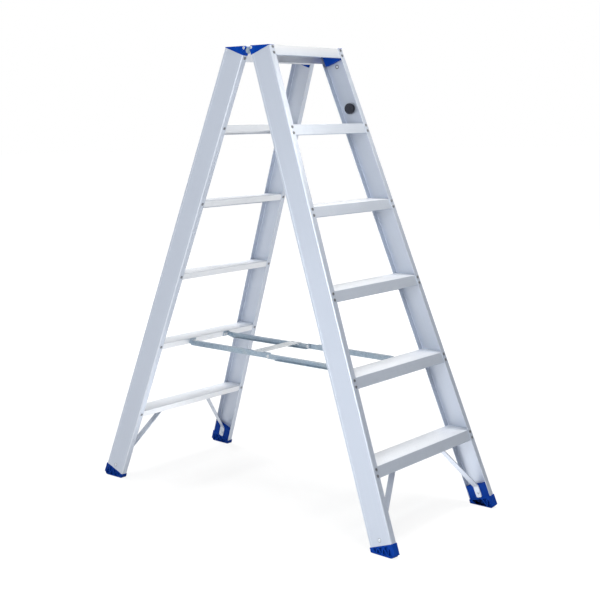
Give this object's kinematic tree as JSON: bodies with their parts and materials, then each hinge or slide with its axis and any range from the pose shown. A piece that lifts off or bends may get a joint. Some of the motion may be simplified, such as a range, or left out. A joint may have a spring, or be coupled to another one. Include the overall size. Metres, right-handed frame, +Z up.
{
  "type": "double-sided step ladder",
  "caption": "Double-sided folding aluminium step ladder with flat grooved treads on flared channel stiles, blue end caps and feet, and a folding steel spreader.",
  "frame": {"origin": "on the floor, below the middle of the hinge axis, with the ladder standing open", "axes": "+X along the treads towards the stile with the knob, +Y towards the rear section, +Z up"},
  "size_m": [0.549, 1.2424, 1.4418],
  "materials": {
    "stile_aluminium": "satin extruded aluminium",
    "tread_aluminium": "bright ribbed extruded aluminium",
    "rivet_aluminium": "plain aluminium blind rivets",
    "zinc_steel": "blue-grey zinc plating",
    "plate_steel": "bright zinc plating",
    "blue_plastic": "moulded blue plastic",
    "black_plastic": "moulded black plastic"
  },
  "bodies": {
    "front_section": {"front_left_stile": "stile_aluminium", "front_right_stile": "stile_aluminium", "front_tread_1": "tread_aluminium", "front_tread_2": "tread_aluminium", "front_tread_3": "tread_aluminium", "front_tread_4": "tread_aluminium", "front_tread_5": "tread_aluminium", "front_tread_6": "tread_aluminium", "front_left_foot": "blue_plastic", "front_right_foot": "blue_plastic", "front_left_cap": "blue_plastic", "front_right_cap": "blue_plastic", "front_left_brace": "stile_aluminium", "front_right_brace": "stile_aluminium", "front_left_hinge_plate": "zinc_steel", "front_right_hinge_plate": "zinc_steel", "left_hinge_pin": "zinc_steel", "right_hinge_pin": "zinc_steel", "front_cap_rivets": "rivet_aluminium", "front_tread_rivets": "rivet_aluminium", "front_brace_rivets": "rivet_aluminium", "front_left_bracket": "zinc_steel", "front_right_bracket": "zinc_steel", "front_bracket_rivets": "rivet_aluminium", "front_pivot_pins": "zinc_steel", "hanging_knob": "black_plastic", "knob_screw": "zinc_steel", "stile_stud": "rivet_aluminium"},
    "rear_section": {"rear_left_stile": "stile_aluminium", "rear_right_stile": "stile_aluminium", "rear_tread_1": "tread_aluminium", "rear_tread_2": "tread_aluminium", "rear_tread_3": "tread_aluminium", "rear_tread_4": "tread_aluminium", "rear_tread_5": "tread_aluminium", "rear_tread_6": "tread_aluminium", "rear_left_foot": "blue_plastic", "rear_right_foot": "blue_plastic", "rear_left_cap": "blue_plastic", "rear_right_cap": "blue_plastic", "rear_left_brace": "stile_aluminium", "rear_right_brace": "stile_aluminium", "rear_left_hinge_plate": "zinc_steel", "rear_right_hinge_plate": "zinc_steel", "rear_cap_rivets": "rivet_aluminium", "rear_tread_rivets": "rivet_aluminium", "rear_brace_rivets": "rivet_aluminium", "rear_left_bracket": "zinc_steel", "rear_right_bracket": "zinc_steel", "rear_bracket_rivets": "rivet_aluminium", "rear_pivot_pins": "zinc_steel"},
    "front_spreader": {"front_left_bar": "zinc_steel", "front_right_bar": "zinc_steel", "front_middle_rivets": "zinc_steel"},
    "rear_spreader": {"rear_left_bar": "zinc_steel", "rear_right_bar": "zinc_steel", "cross_plate": "plate_steel", "cross_plate_rivets": "rivet_aluminium", "rear_middle_rivets": "zinc_steel"}
  },
  "joints": [
    {"name": "top_hinge", "type": "hinge", "parent": "front_section", "child": "rear_section", "pos_m": [0, 0, 1.4264], "axis": [-1, 0, 0], "range_deg": [0, 40.4]},
    {"name": "front_spreader_fold", "type": "hinge", "parent": "front_section", "child": "front_spreader", "pos_m": [0, -0.3536, 0.46534], "axis": [1, 0, 0], "range_deg": [0, 69.8]},
    {"name": "rear_spreader_fold", "type": "hinge", "parent": "rear_section", "child": "rear_spreader", "pos_m": [0, 0.3536, 0.46534], "axis": [-1, 0, 0], "range_deg": [0, 69.8]}
  ],
  "couplings": [
    {"joint": "front_spreader_fold", "follows": "top_hinge", "ratio": 1.7277},
    {"joint": "rear_spreader_fold", "follows": "top_hinge", "ratio": 1.7277}
  ]
}
